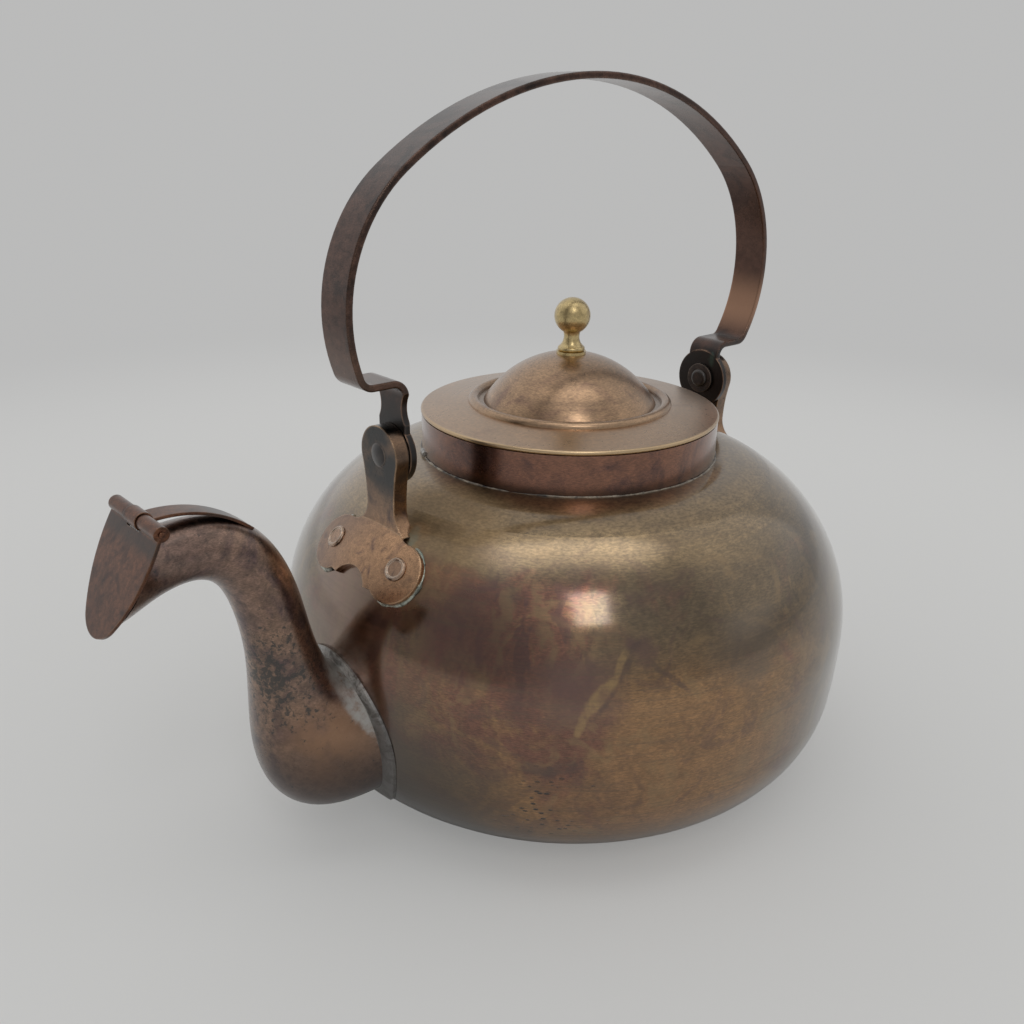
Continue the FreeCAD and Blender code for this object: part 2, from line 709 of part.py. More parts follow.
front_ear = make_ear()
front_rivets = make_ear_rivets()
front_roves = make_roves()
front_pivot = make_pivot_rivet()
front_washer = make_pivot_washer()
rear_rivet_holes = to_rear(rivet_holes)

nodes = {
    "body_shell": make_shell().cut(spout_bore).cut(rivet_holes).cut(rear_rivet_holes),
    "base_disc": make_base(),
    "neck_band": make_neck(),
    "spout": make_spout(),
    "spout_flange": make_saddle(),
    "hinge_leaf": make_hinge_leaf(),
    "spout_flap": make_flap(),
    "hinge_pin": make_hinge_pin(),
    "front_ear": front_ear,
    "rear_ear": to_rear(front_ear),
    "front_ear_rivets": front_rivets,
    "rear_ear_rivets": to_rear(front_rivets),
    "front_rivet_roves": front_roves,
    "rear_rivet_roves": to_rear(front_roves),
    "front_pivot_rivet": front_pivot,
    "rear_pivot_rivet": to_rear(front_pivot),
    "front_pivot_washer": front_washer,
    "rear_pivot_washer": to_rear(front_washer),
    "handle_strap": make_strap(),
    "lid_top": make_lid(),
    "lid_flange": make_lid_flange(),
    "lid_knob": make_knob(),
    "knob_washer": ring_on_dome(dome_sphere, KNOB_WASHER_RADIUS, knob_seat),
    "knob_burr": ring_on_dome(dome_inside, KNOB_BURR_RADIUS, burr_low),
}

os.makedirs("parts", exist_ok=True)
for name, shape in nodes.items():
    shape.exportStep(f"parts/{name}.step")
    print(name, "solids", len(shape.Solids), "valid", shape.isValid(), "volume", round(shape.Volume, 1))
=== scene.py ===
import math

import bpy
from mathutils import Matrix, Vector


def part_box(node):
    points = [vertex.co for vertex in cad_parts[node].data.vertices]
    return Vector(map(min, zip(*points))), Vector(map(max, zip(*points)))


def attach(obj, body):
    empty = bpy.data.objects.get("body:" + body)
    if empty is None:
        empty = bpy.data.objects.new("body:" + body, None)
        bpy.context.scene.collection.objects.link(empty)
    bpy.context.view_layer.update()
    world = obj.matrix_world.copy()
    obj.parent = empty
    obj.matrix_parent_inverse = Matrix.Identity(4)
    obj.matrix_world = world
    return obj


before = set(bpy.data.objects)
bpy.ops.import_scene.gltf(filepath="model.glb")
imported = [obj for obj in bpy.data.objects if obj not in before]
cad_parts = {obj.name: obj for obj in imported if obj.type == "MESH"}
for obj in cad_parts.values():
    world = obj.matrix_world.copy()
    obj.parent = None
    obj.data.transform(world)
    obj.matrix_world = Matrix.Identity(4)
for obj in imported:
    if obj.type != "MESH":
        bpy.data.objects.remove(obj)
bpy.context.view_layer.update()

# Belly and base
# The belly is raised from sheet copper and planished, then closed by a flat bottom let into it.
# Years of use left a golden brown skin with plum fire stains, pits near the foot and a tinned inside.
WIDEST_HEIGHT = 0.063


def put(tree, kind, inputs=None, **settings):
    """One node with its settings; each input is set or linked by its name or number."""
    made = tree.nodes.new(kind)
    for name, value in settings.items():
        setattr(made, name, value)
    for key, value in (inputs or {}).items():
        if isinstance(value, bpy.types.NodeSocket):
            tree.links.new(value, made.inputs[key])
        else:
            made.inputs[key].default_value = value
    return made


def opaque(colour):
    return (*colour, 1) if isinstance(colour, tuple) else colour


def tint(tree, share, first, second, mode="MIX"):
    """The first colour, gone over into the second by this share."""
    colours = {0: share, 6: opaque(first), 7: opaque(second)}
    return put(tree, "ShaderNodeMix", colours, data_type="RGBA", blend_type=mode).outputs[2]


def reckon(tree, operation, first, second=0.0, third=0.0):
    return put(tree, "ShaderNodeMath", {0: first, 1: second, 2: third}, operation=operation).outputs[0]


def times(tree, first, second):
    return reckon(tree, "MULTIPLY", first, second)


def add_share(tree, value, share, base):
    """The base with this share of the value added to it."""
    return reckon(tree, "MULTIPLY_ADD", value, share, base)


def ramp(tree, value, low, high, to_low=0.0, to_high=1.0):
    """A smooth change from to_low to to_high while the value goes from low to high."""
    inputs = {"Value": value, "From Min": low, "From Max": high, "To Min": to_low, "To Max": to_high}
    return put(tree, "ShaderNodeMapRange", inputs, interpolation_type="SMOOTHSTEP").outputs[0]


def noise(tree, place, scale, detail=4.0, rough=0.55, twist=0.0):
    """A cloudy pattern from 0 to 1 with this many clouds to the metre."""
    inputs = {"Vector": place, "Scale": scale, "Detail": detail, "Roughness": rough, "Distortion": twist}
    return put(tree, "ShaderNodeTexNoise", inputs).outputs["Fac"]


def vector_math(tree, operation, first, second=(0, 0, 0), third=(0, 0, 0), output=0):
    inputs = {0: first, 1: second, 2: third}
    return put(tree, "ShaderNodeVectorMath", inputs, operation=operation).outputs[output]


def stretched(tree, place, scale, turn=(0, 0, 0)):
    return put(tree, "ShaderNodeMapping", {0: place, 2: turn, 3: scale}).outputs[0]


def new_group(name, inputs, outputs):
    group = bpy.data.node_groups.new(name, "ShaderNodeTree")
    for label, kind, value in inputs:
        socket = group.interface.new_socket(label, in_out="INPUT", socket_type="NodeSocket" + kind)
        if value is not None:
            socket.default_value = value
    for label, kind in outputs:
        group.interface.new_socket(label, in_out="OUTPUT", socket_type="NodeSocket" + kind)
    return group, group.nodes.new("NodeGroupInput").outputs, group.nodes.new("NodeGroupOutput").inputs


def make_patina():
    """Aged metal: a clean colour under a skin, with flame-edged stains, mottling and fine grain."""
    group, given, result = new_group("patina", [
        ("Place", "Vector", None), ("Clean", "Color", None), ("Skin", "Color", None),
        ("Stain", "Color", None), ("Scale", "Float", 10.0), ("Skin share", "Float", 0.5),
        ("Stain share", "Float", 0.5), ("Mottle", "Float", 0.5), ("Gloss", "Float", 0.25),
    ], [("Colour", "Color"), ("Roughness", "Float"), ("Height", "Float")])
    place, scale = given["Place"], given["Scale"]
    broad = noise(group, place, scale, 4.0, 0.55, 0.6)
    skin = ramp(group, reckon(group, "ADD", broad, given["Skin share"]), 0.78, 1.22)
    flames = noise(group, place, times(group, scale, 2.3), 7.0, 0.6, 1.6)
    stain = ramp(group, reckon(group, "ADD", flames, given["Stain share"]), 0.90, 1.10)
    mottle = noise(group, place, times(group, scale, 16.0), 6.0, 0.68, 0.4)
    grain = noise(group, stretched(group, place, (0.6, 0.6, 2.4)), times(group, scale, 80.0), 3.0, 0.6)
    colour = tint(group, skin, given["Clean"], given["Skin"])
    colour = tint(group, stain, colour, given["Stain"])
    uneven = add_share(group, reckon(group, "SUBTRACT", mottle, 0.5), given["Mottle"], 0.5)
    tone = times(group, ramp(group, uneven, 0.25, 0.75, 0.45, 1.55),
                 ramp(group, grain, 0.25, 0.75, 0.69, 1.34))
    grey = put(group, "ShaderNodeCombineColor", {0: tone, 1: tone, 2: tone}).outputs[0]
    colour = tint(group, 1.0, colour, grey, "MULTIPLY")
    dull = add_share(group, skin, 0.05, given["Gloss"])
    dull = add_share(group, stain, 0.05, dull)
    dull = add_share(group, mottle, 0.16, reckon(group, "SUBTRACT", dull, 0.08))
    height = add_share(group, broad, 0.6, times(group, mottle, 0.025))
    for socket, label in ((colour, "Colour"), (dull, "Roughness"), (height, "Height")):
        group.links.new(socket, result[label])
    return group


patina = make_patina()


def start_metal(name, film=1.7, film_gloss=0.22):
    """A metal under a thin oxide film, with the piece's own coordinates."""
    material = bpy.data.materials.new(name)
    material.use_nodes = True
    tree = material.node_tree
    shader = tree.nodes["Principled BSDF"]
    shader.inputs["Metallic"].default_value = 1.0
    shader.inputs["Coat Weight"].default_value = 1.0
    shader.inputs["Coat IOR"].default_value = film
    shader.inputs["Coat Roughness"].default_value = film_gloss
    return material, tree, shader, put(tree, "ShaderNodeTexCoord").outputs["Object"]


def aged(tree, place, clean, skin, stain, scale, skin_share, stain_share, gloss, mottle=0.5):
    """The patina in these colours: its colour, roughness and height."""
    inputs = {"Place": place, "Clean": opaque(clean), "Skin": opaque(skin), "Stain": opaque(stain),
              "Scale": scale, "Skin share": skin_share, "Stain share": stain_share,
              "Mottle": mottle, "Gloss": gloss}
    made = put(tree, "ShaderNodeGroup", inputs, node_tree=patina).outputs
    return made["Colour"], made["Roughness"], made["Height"]


def close_metal(tree, shader, colour, roughness, height, depth=0.0004, strength=0.5, normal=None):
    tree.links.new(colour, shader.inputs["Base Color"])
    tree.links.new(roughness, shader.inputs["Roughness"])
    bump = put(tree, "ShaderNodeBump", {"Height": height, "Distance": depth, "Strength": strength})
    if normal:
        tree.links.new(normal, bump.inputs["Normal"])
    tree.links.new(bump.outputs[0], shader.inputs["Normal"])


def dress(material, *names):
    for name in names:
        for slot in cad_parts[name].material_slots:
            slot.material = material


def facing(tree, place, angle):
    """1 on the side of the kettle that looks along this angle about its axis, -1 on the far side."""
    unit = vector_math(tree, "NORMALIZE", vector_math(tree, "MULTIPLY", place, (1, 1, 0)))
    towards = (math.cos(math.radians(angle)), math.sin(math.radians(angle)), 0)
    return vector_math(tree, "DOT_PRODUCT", unit, towards, output="Value")


def height_of(tree, place):
    return put(tree, "ShaderNodeSeparateXYZ", {0: place}).outputs["Z"]


def near(tree, place, centre, reach, core=0.0):
    """1 within the core round this centre, 0 beyond the reach."""
    return ramp(tree, vector_math(tree, "DISTANCE", place, centre, output="Value"), reach, core)


def stroke(tree, place, first, second, reach):
    """1 along the line between two points, fading out at this reach from it."""
    line = Vector(second) - Vector(first)
    start = vector_math(tree, "SUBTRACT", place, first)
    along = vector_math(tree, "DOT_PRODUCT", start, line / line.length_squared, output="Value")
    along = put(tree, "ShaderNodeClamp", {0: along}).outputs[0]
    foot = put(tree, "ShaderNodeVectorMath", {0: line, "Scale": along}, operation="SCALE").outputs[0]
    return ramp(tree, vector_math(tree, "DISTANCE", start, foot, output="Value"), reach, reach * 0.4)


# angles about the axis, in degrees
FRONT, RIGHT_SIDE, BACK, PLUM_SIDE = -122, -50, 52, -158
# clean metal and brown skin in each part of the belly
SIDE_CLEAN, SIDE_SKIN = (0.176, 0.120, 0.063), (0.136, 0.094, 0.051)
SHOULDER_CLEAN, SHOULDER_SKIN = (0.322, 0.220, 0.111), (0.252, 0.173, 0.091)
FRONT_CLEAN, FRONT_SKIN = (0.350, 0.188, 0.074), (0.255, 0.134, 0.064)
BACK_CLEAN, BACK_SKIN = (0.330, 0.180, 0.074), (0.240, 0.129, 0.064)
PLUM_STAIN = (0.196, 0.082, 0.049)
PLUM_CLOUD, GOLD_CLOUD = (0.125, 0.066, 0.052), (0.335, 0.215, 0.098)
PLUM_DRIP, GOLD_DRIP = (0.088, 0.042, 0.042), (0.250, 0.158, 0.076)
BRUSH_LINE, STREAK = (0.140, 0.096, 0.056), (0.120, 0.090, 0.058)
PIT_BLACK, SATIN_PAINTED_LIGHT = (0.035, 0.026, 0.020), (0.330, 0.235, 0.140)
WIPED_TIN = (0.34, 0.32, 0.29)
PIT_PATCH = (-0.0765, -0.0770, 0.0355)
SATIN_PATCH = (-0.0850, -0.0190, 0.1190)
# thin marks: both ends, reach and colour
GOLD_VEIN = (0.400, 0.255, 0.105)
DARK_VEIN = (0.105, 0.062, 0.048)
VEINS = (((-0.0767, -0.0855, 0.0672), (-0.0717, -0.0880, 0.0769), 0.0020, GOLD_VEIN),
         ((-0.0717, -0.0880, 0.0769), (-0.0660, -0.0900, 0.0841), 0.0030, GOLD_VEIN),
         ((-0.0660, -0.0900, 0.0841), (-0.0608, -0.0898, 0.0919), 0.0020, GOLD_VEIN),
         ((-0.0722, -0.0888, 0.0715), (-0.0664, -0.0910, 0.0806), 0.0014, DARK_VEIN),
         ((-0.0664, -0.0910, 0.0806), (-0.0549, -0.0910, 0.0961), 0.0016, DARK_VEIN),
         ((-0.0871, -0.0739, 0.0529), (-0.0816, -0.0796, 0.0515), 0.0030, DARK_VEIN),
         ((-0.0816, -0.0796, 0.0515), (-0.0762, -0.0856, 0.0554), 0.0034, DARK_VEIN),
         ((-0.0530, -0.0963, 0.0886), (-0.0438, -0.1041, 0.0794), 0.0014, DARK_VEIN))
# blotches, and patches of painted shade and sheen: centre, reach, share and colour
BLOTCHES_AND_PAINTED_LIGHT = (((-0.0744, -0.0841, 0.0820), 0.019, 0.70, (0.150, 0.080, 0.066)),
            ((-0.0545, -0.0930, 0.0932), 0.009, 0.70, (0.140, 0.072, 0.060)),
            ((-0.0190, -0.1085, 0.0881), 0.021, 0.55, (0.150, 0.118, 0.090)),
            ((-0.0957, -0.0470, 0.0956), 0.024, 0.60, (0.160, 0.070, 0.055)),
            # painted shade and dark reflection low on the belly beside the spout
            ((-0.0950, -0.0250, 0.0240), 0.062, 0.88, (0.070, 0.054, 0.040)),
            # painted sheen, a paler grey brown patch on the belly's left
            ((-0.1085, -0.0005, 0.0915), 0.032, 0.72, (0.240, 0.168, 0.126)),
            ((-0.0870, -0.0140, 0.1166), 0.005, 0.65, (0.110, 0.190, 0.165)))


def make_belly_copper():
    material, tree, shader, place = start_metal("belly_copper", film=1.6, film_gloss=0.12)
    z = height_of(tree, place)
    ragged = put(tree, "ShaderNodeTexNoise",
                 {"Vector": place, "Scale": 55.0, "Detail": 5.0, "Roughness": 0.6}).outputs["Color"]
    ragged = vector_math(tree, "SUBTRACT", ragged, (0.5, 0.5, 0.5))
    ragged = vector_math(tree, "MULTIPLY", ragged, (0.022, 0.022, 0.022))
    frayed = vector_math(tree, "ADD", place, ragged)
    wavering = vector_math(tree, "MULTIPLY_ADD", ragged, (0.3, 0.3, 0.3), place)
    # orange gold low on the front and the back, olive brown on the sides, plum beside the spout
    shoulder = ramp(tree, z, 0.108, 0.119)
    front = times(tree, ramp(tree, facing(tree, frayed, FRONT), 0.66, 0.97), ramp(tree, z, 0.100, 0.074))
    back = times(tree, ramp(tree, facing(tree, frayed, BACK), 0.2, 0.8), ramp(tree, z, 0.112, 0.092))
    low_back = times(tree, back, ramp(tree, z, 0.085, 0.045, 0.0, 0.8))
    clean = tint(tree, front, tint(tree, shoulder, SIDE_CLEAN, SHOULDER_CLEAN), FRONT_CLEAN)
    clean = tint(tree, low_back, clean, BACK_CLEAN)
    skin = tint(tree, front, tint(tree, shoulder, SIDE_SKIN, SHOULDER_SKIN), FRONT_SKIN)
    skin = tint(tree, low_back, skin, BACK_SKIN)
    plum = times(tree, ramp(tree, facing(tree, frayed, PLUM_SIDE), 0.70, 0.97), ramp(tree, z, 0.026, 0.060))
    plum = times(tree, plum, ramp(tree, z, 0.121, 0.106))
    stain_share = add_share(tree, plum, 0.24, 0.345)
    stain_share = add_share(tree, shoulder, -0.12, stain_share)
    high_back = times(tree, back, ramp(tree, z, 0.035, 0.065))
    stain_share = add_share(tree, high_back, 0.16, stain_share)
    colour, roughness, height = aged(
        tree, place, clean, skin, PLUM_STAIN, scale=13.0, skin_share=0.46, stain_share=stain_share,
        gloss=ramp(tree, z, 0.118, 0.125, 0.14, 0.32), mottle=0.36)
    # patches of plum and gold a finger wide
    clouds = noise(tree, place, 46.0, 6.0, 0.62, 1.4)
    cloudy = ramp(tree, z, 0.122, 0.108, 0.12, 0.42)
    colour = tint(tree, times(tree, ramp(tree, clouds, 0.54, 0.64), cloudy), colour, PLUM_CLOUD)
    colour = tint(tree, times(tree, ramp(tree, clouds, 0.47, 0.37), cloudy), colour, GOLD_CLOUD)
    # narrow upright drips of gold and dark plum beside the spout
    runs = noise(tree, stretched(tree, place, (150, 150, 16)), 1.0, 4.0, 0.55, 0.5)
    high = times(tree, plum, ramp(tree, z, 0.070, 0.092, 0.25, 1.0))
    colour = tint(tree, times(tree, ramp(tree, runs, 0.52, 0.64, 0.0, 0.70), high), colour, GOLD_DRIP)
    colour = tint(tree, times(tree, ramp(tree, runs, 0.48, 0.38, 0.0, 0.55), high), colour, PLUM_DRIP)
    # stains, and among them the patches of painted shade and sheen
    for centre, reach, share, shade in BLOTCHES_AND_PAINTED_LIGHT:
        blotch = times(tree, near(tree, frayed, centre, reach, reach * 0.35), share)
        colour = tint(tree, blotch, colour, shade)
    broken = ramp(tree, noise(tree, place, 320.0, 4.0, 0.6), 0.32, 0.62, 0.22, 0.66)
    for first, second, reach, shade in VEINS:
        vein = times(tree, stroke(tree, wavering, first, second, reach), broken)
        colour = tint(tree, vein, colour, shade)
    # brush lines round the belly, stronger towards its foot, and streaks that sweep up over its right side
    lines = noise(tree, stretched(tree, place, (14, 14, 620)), 2.0, 5.0, 0.6, 0.3)
    brushed = times(tree, ramp(tree, lines, 0.48, 0.68), ramp(tree, z, 0.060, 0.020, 0.36, 0.65))
    colour = tint(tree, brushed, colour, BRUSH_LINE)
    sweep = noise(tree, stretched(tree, place, (6, 6, 85), (0.42, 0.30, 0.0)), 1.7, 5.0, 0.6, 1.2)
    streaks = times(tree, ramp(tree, sweep, 0.50, 0.64),
                    ramp(tree, facing(tree, place, RIGHT_SIDE), 0.2, 0.9))
    colour = tint(tree, times(tree, streaks, 0.36), colour, STREAK)
    # corrosion pits low on the front, drawn out along the brush lines
    cells = put(tree, "ShaderNodeTexVoronoi", {"Vector": stretched(tree, place, (1, 1, 2.3)), "Scale": 250.0})
    patchy = ramp(tree, noise(tree, place, 60.0, 2.0), 0.40, 0.56)
    pitted = times(tree, near(tree, frayed, PIT_PATCH, 0.026, 0.006), patchy)
    pits = times(tree, ramp(tree, cells.outputs["Distance"], 0.30, 0.17), pitted)
    colour = tint(tree, pits, colour, PIT_BLACK)
    height = reckon(tree, "SUBTRACT", height, times(tree, pits, 0.5))
    # satin beside the front ear: rougher, with less film, and painted lighter over the shade and dark
    # reflection there
    satin = near(tree, place, SATIN_PATCH, 0.036, 0.016)
    roughness = add_share(tree, satin, 0.24, roughness)
    tree.links.new(add_share(tree, satin, -0.75, 1.0), shader.inputs["Coat Weight"])
    colour = tint(tree, times(tree, satin, 0.35), colour, SATIN_PAINTED_LIGHT)
    # the inside is wiped with tin
    normal = put(tree, "ShaderNodeNewGeometry").outputs["Normal"]
    from_middle = vector_math(tree, "SUBTRACT", place, (0, 0, WIDEST_HEIGHT))
    inside = ramp(tree, vector_math(tree, "DOT_PRODUCT", from_middle, normal, output="Value"), 0.0, -0.004)
    colour = tint(tree, inside, colour, WIPED_TIN)
    roughness = add_share(tree, inside, 0.2, roughness)
    close_metal(tree, shader, colour, roughness, height, depth=0.0010, strength=0.45)
    return material


dress(make_belly_copper(), "body_shell", "base_disc")

# Neck band
# A strip of copper bent to a ring and soft-soldered on the shoulder round the opening.
# The solder shows as a thin uneven line at its foot, pale where it is worn and black with dirt elsewhere.
NECK_RADIUS = 0.0588
NECK_FOOT = 0.12730
NECK_CLEAN, NECK_SKIN, NECK_STAIN = (0.270, 0.117, 0.062), (0.176, 0.072, 0.043), (0.095, 0.040, 0.030)
NECK_FOOT_PAINTED_SHADE = (0.055, 0.036, 0.028)


def make_neck_copper():
    material, tree, shader, place = start_metal("neck_copper", film=1.52)
    colour, roughness, height = aged(
        tree, place, NECK_CLEAN, NECK_SKIN, NECK_STAIN,
        scale=15.0, skin_share=0.50, stain_share=0.42, gloss=0.20, mottle=0.35)
    # painted shade in the crease at the band's foot, where it meets the shoulder
    join_darkening = ramp(tree, height_of(tree, place), NECK_FOOT + 0.0040, NECK_FOOT + 0.0003, 0.0, 0.6)
    colour = tint(tree, join_darkening, colour, NECK_FOOT_PAINTED_SHADE)
    close_metal(tree, shader, colour, roughness, height)
    return material


dress(make_neck_copper(), "neck_band")


def make_soft_solder(name, bright, dull, dirt, darker_below=0.0):
    """Dull lumpy solder, and where a height is given, darker below it with dirt and painted shade."""
    material, tree, shader, place = start_metal(name, film=1.5, film_gloss=0.4)
    shader.inputs["Metallic"].default_value = 0.55
    colour, roughness, height = aged(
        tree, place, bright, dull, dirt, scale=60.0, skin_share=0.45, stain_share=0.45, gloss=0.42)
    if darker_below:
        # dirt and painted shade on the lower part
        dirt_and_shade = ramp(tree, height_of(tree, place), darker_below, darker_below - 0.030, 0.0, 0.82)
        colour = tint(tree, dirt_and_shade, colour, dirt)
    close_metal(tree, shader, colour, roughness, height, depth=0.0006, strength=0.8)
    return material


tinned_solder = make_soft_solder("tinned_solder", bright=(0.45, 0.44, 0.415), dull=(0.28, 0.265, 0.245),
                                 dirt=(0.105, 0.088, 0.072))
seam_solder = make_soft_solder("seam_solder", bright=(0.34, 0.29, 0.22), dull=(0.095, 0.066, 0.045),
                               dirt=(0.022, 0.016, 0.013))
BEAD_INPUTS = (("Path", "Geometry", None), ("Thickness", "Float", 0.0007), ("Unevenness", "Float", 0.8),
               ("Wander", "Float", 0.0004), ("Step", "Float", 0.0007), ("Solder", "Material", None))
BEAD_SIDES = 8
THINNEST_SHARE = 0.15


def make_bead_tree():
    """A bead along a curve, with a thickness that wanders and lumps where it ran together."""
    tree = bpy.data.node_groups.new("solder_bead", "GeometryNodeTree")
    for label, kind, value in BEAD_INPUTS:
        socket = tree.interface.new_socket(label, in_out="INPUT", socket_type="NodeSocket" + kind)
        if value is not None:
            socket.default_value = value
    tree.interface.new_socket("Bead", in_out="OUTPUT", socket_type="NodeSocketGeometry")
    given = tree.nodes.new("NodeGroupInput").outputs
    fine = put(tree, "GeometryNodeResampleCurve",
               {"Curve": given["Path"], "Length": given["Step"]}, mode="LENGTH")
    place = put(tree, "GeometryNodeInputPosition").outputs[0]
    lumps = put(tree, "ShaderNodeTexNoise",
                {"Vector": place, "Scale": 170.0, "Detail": 3.0, "Roughness": 0.6})
    drift = put(tree, "ShaderNodeTexNoise", {"Vector": place, "Scale": 90.0, "Detail": 2.0})
    aside = vector_math(tree, "SUBTRACT", drift.outputs["Color"], (0.5, 0.5, 0.5))
    shift = put(tree, "ShaderNodeVectorMath",
                {0: aside, "Scale": given["Wander"]}, operation="SCALE").outputs[0]
    wandering = put(tree, "GeometryNodeSetPosition", {"Geometry": fine.outputs[0], "Offset": shift})
    spread = times(tree, reckon(tree, "SUBTRACT", lumps.outputs["Fac"], 0.5), given["Unevenness"])
    scale = reckon(tree, "MAXIMUM", add_share(tree, spread, 4.0, 1.0), THINNEST_SHARE)
    thick = times(tree, scale, given["Thickness"])
    ring = put(tree, "GeometryNodeCurvePrimitiveCircle",
               {"Resolution": BEAD_SIDES, "Radius": 1.0}, mode="RADIUS")
    bead = put(tree, "GeometryNodeCurveToMesh",
               {"Curve": wandering.outputs[0], "Profile Curve": ring.outputs[0],
                "Scale": thick, "Fill Caps": True})
    smooth = put(tree, "GeometryNodeSetShadeSmooth", {"Geometry": bead.outputs[0]})
    plain = put(tree, "GeometryNodeRealizeInstances", {"Geometry": smooth.outputs[0]})
    finish = put(tree, "GeometryNodeSetMaterial", {"Geometry": plain.outputs[0], "Material": given["Solder"]})
    put(tree, "NodeGroupOutput", {"Bead": finish.outputs[0]})
    return tree


bead_tree = make_bead_tree()


def lay_bead(name, points, closed, solder, **sizes):
    """Runs the bead tree along these points and keeps the result as a plain mesh on the kettle."""
    curve = bpy.data.curves.new(name + "_path", "CURVE")
    curve.dimensions = "3D"
    spline = curve.splines.new("POLY")
    spline.points.add(len(points) - 1)
    for point, place in zip(spline.points, points):
        point.co = (*place, 1)
    spline.use_cyclic_u = closed
    path = bpy.data.objects.new(name + "_path", curve)
    bpy.context.scene.collection.objects.link(path)
    modifier = path.modifiers.new("bead", "NODES")
    modifier.node_group = bead_tree
    sizes["Solder"] = solder
    for item in bead_tree.interface.items_tree:
        if item.in_out == "INPUT" and item.name in sizes:
            modifier[item.identifier] = sizes[item.name]
    bpy.context.view_layer.update()
    depsgraph = bpy.context.evaluated_depsgraph_get()
    mesh = bpy.data.meshes.new_from_object(path.evaluated_get(depsgraph))
    bpy.data.objects.remove(path)
    bpy.data.curves.remove(curve)
    bead = bpy.data.objects.new(name, mesh)
    bpy.context.scene.collection.objects.link(bead)
    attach(bead, "kettle")


SEAM_REACH = NECK_RADIUS + 0.0002
SEAM_STEPS = 240
BLOB_TURN, BLOB_HALF = math.radians(152), math.radians(3)
BLOB_HEIGHT = NECK_FOOT + 0.0006


def round_neck(turn, z):
    return SEAM_REACH * math.cos(turn), SEAM_REACH * math.sin(turn), z


seam_ring = [round_neck(2 * math.pi * step / SEAM_STEPS, NECK_FOOT) for step in range(SEAM_STEPS)]
blob = [round_neck(BLOB_TURN + share * BLOB_HALF, BLOB_HEIGHT) for share in (-1, -0.5, 0, 0.5, 1)]
lay_bead("neck_seam", seam_ring, True, seam_solder, Thickness=0.00042, Unevenness=0.9, Wander=0.0006)
lay_bead("neck_solder_blob", blob, False, tinned_solder, Thickness=0.0013, Unevenness=0.7, Wander=0.0015)

# Spout
# A gooseneck tube with a bulbous root, worked from sheet and brazed along its length.
# It is duller than the belly, with black scale on its side, and its root is tinned to the belly by a saddle.
SHOULDER_CENTRE, SHOULDER_CURVE = 0.0476, 0.0674
SPOUT_CLEAN, SPOUT_SKIN, SPOUT_STAIN = (0.275, 0.163, 0.102), (0.178, 0.108, 0.083), (0.098, 0.054, 0.051)
RUBBED_ORANGE, BULB_PAINTED_SHADE = (0.43, 0.225, 0.110), (0.058, 0.034, 0.025)
SCALE_BLACK, SCALE_CLOUD = (0.036, 0.037, 0.033), (0.095, 0.080, 0.068)
SMEARED_TIN, DIMPLE_BROWN = (0.51, 0.495, 0.465), (0.11, 0.062, 0.045)
SCALE_PATCH = (-0.1465, -0.0160, 0.0780)
RUBBED_PATCH = (-0.1300, -0.0270, 0.052)
DIMPLE = (-0.1330, -0.0210, 0.0285)
SADDLE_DARKER_BELOW = 0.075


def radius_of(tree, place):
    """How far a place is from the kettle's axis."""
    return vector_math(tree, "LENGTH", vector_math(tree, "MULTIPLY", place, (1, 1, 0)), output="Value")


def make_spout_copper():
    material, tree, shader, place = start_metal("spout_copper", film=1.55, film_gloss=0.25)
    z = height_of(tree, place)
    colour, roughness, height = aged(
        tree, place, SPOUT_CLEAN, SPOUT_SKIN, SPOUT_STAIN,
        scale=21.0, skin_share=0.46, stain_share=0.44, gloss=0.28, mottle=0.9)
    rubbed = times(tree, near(tree, place, RUBBED_PATCH, 0.027, 0.006),
                   ramp(tree, noise(tree, place, 60.0, 5.0, 0.6), 0.34, 0.60, 0.15, 0.85))
    colour = tint(tree, rubbed, colour, RUBBED_ORANGE)
    # painted shade, darker towards the underside of the bulb
    colour = tint(tree, ramp(tree, z, 0.068, 0.034, 0.0, 0.78), colour, BULB_PAINTED_SHADE)
    # black scale in grains and clouds
    grains = noise(tree, place, 520.0, 5.0, 0.7, 0.4)
    cloud = times(tree, near(tree, place, SCALE_PATCH, 0.032, 0.004), noise(tree, place, 110.0, 4.0, 0.6))
    crust = ramp(tree, add_share(tree, cloud, 0.36, grains), 0.60, 0.72)
    colour = tint(tree, times(tree, crust, 0.85), colour, SCALE_BLACK)
    colour = tint(tree, times(tree, cloud, 0.45), colour, SCALE_CLOUD)
    roughness = add_share(tree, crust, 0.2, roughness)
    # tin that ran up from the saddle, measured by how far it is off the belly
    across = reckon(tree, "SUBTRACT", radius_of(tree, place), SHOULDER_CENTRE)
    rise = reckon(tree, "SUBTRACT", z, WIDEST_HEIGHT)
    off = reckon(tree, "SQRT", add_share(tree, across, across, times(tree, rise, rise)))
    off = reckon(tree, "SUBTRACT", off, SHOULDER_CURVE)
    off = add_share(tree, noise(tree, place, 150.0, 5.0, 0.65), 0.007, off)
    reach = ramp(tree, z, 0.034, 0.074, 0.0025, 0.0140)
    smear = ramp(tree, reckon(tree, "DIVIDE", off, reach), 1.1, 0.75)
    patchy = ramp(tree, noise(tree, place, 260.0, 5.0, 0.7), 0.30, 0.62, 0.25, 0.95)
    colour = tint(tree, times(tree, smear, patchy), colour, SMEARED_TIN)
    roughness = add_share(tree, smear, 0.15, roughness)
    # a small dimple on the bulb
    dimple = near(tree, place, DIMPLE, 0.0022, 0.0006)
    colour = tint(tree, times(tree, dimple, 0.6), colour, DIMPLE_BROWN)
    height = reckon(tree, "SUBTRACT", height, times(tree, dimple, 0.8))
    close_metal(tree, shader, colour, roughness, height, depth=0.0008)
    return material


